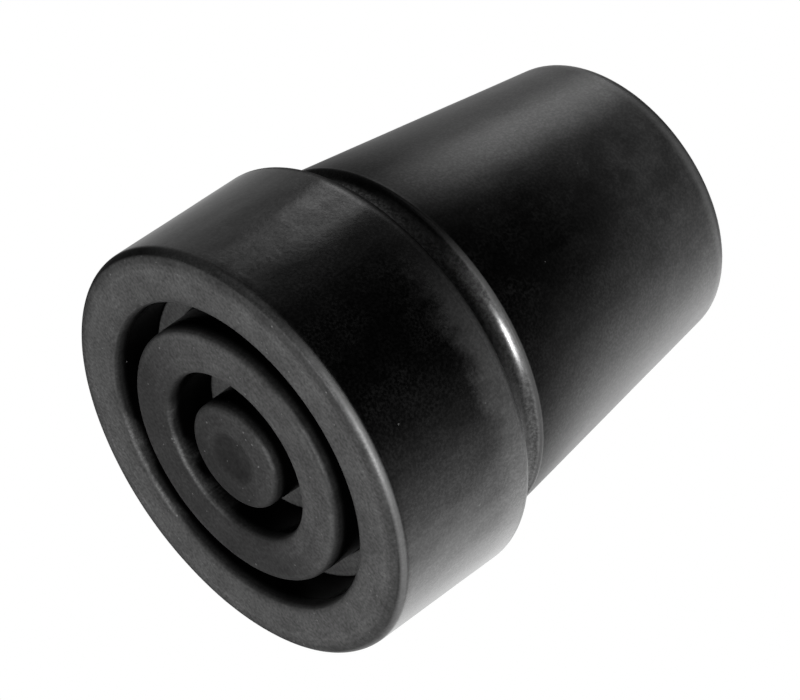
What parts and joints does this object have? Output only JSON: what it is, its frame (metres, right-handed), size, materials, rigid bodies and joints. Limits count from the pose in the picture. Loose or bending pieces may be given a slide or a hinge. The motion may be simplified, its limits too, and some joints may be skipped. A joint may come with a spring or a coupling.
{
  "type": "rubber cane tip",
  "caption": "Moulded rubber tip for the foot of a cane: a wide ringed foot, a short neck and a tapered sleeve with a blind socket for the shaft.",
  "frame": {"origin": "centre of the flat tread, at the level of the floor it stands on", "axes": "+Z along the axis of the tip, from the tread to the open mouth of the socket; the tip is round, so X and Y are free"},
  "size_m": [0.0384, 0.0384, 0.0468],
  "materials": {
    "rubber": "black moulded rubber with a faint dull bloom"
  },
  "bodies": {
    "root": {"cane_tip": "rubber"}
  },
  "joints": []
}
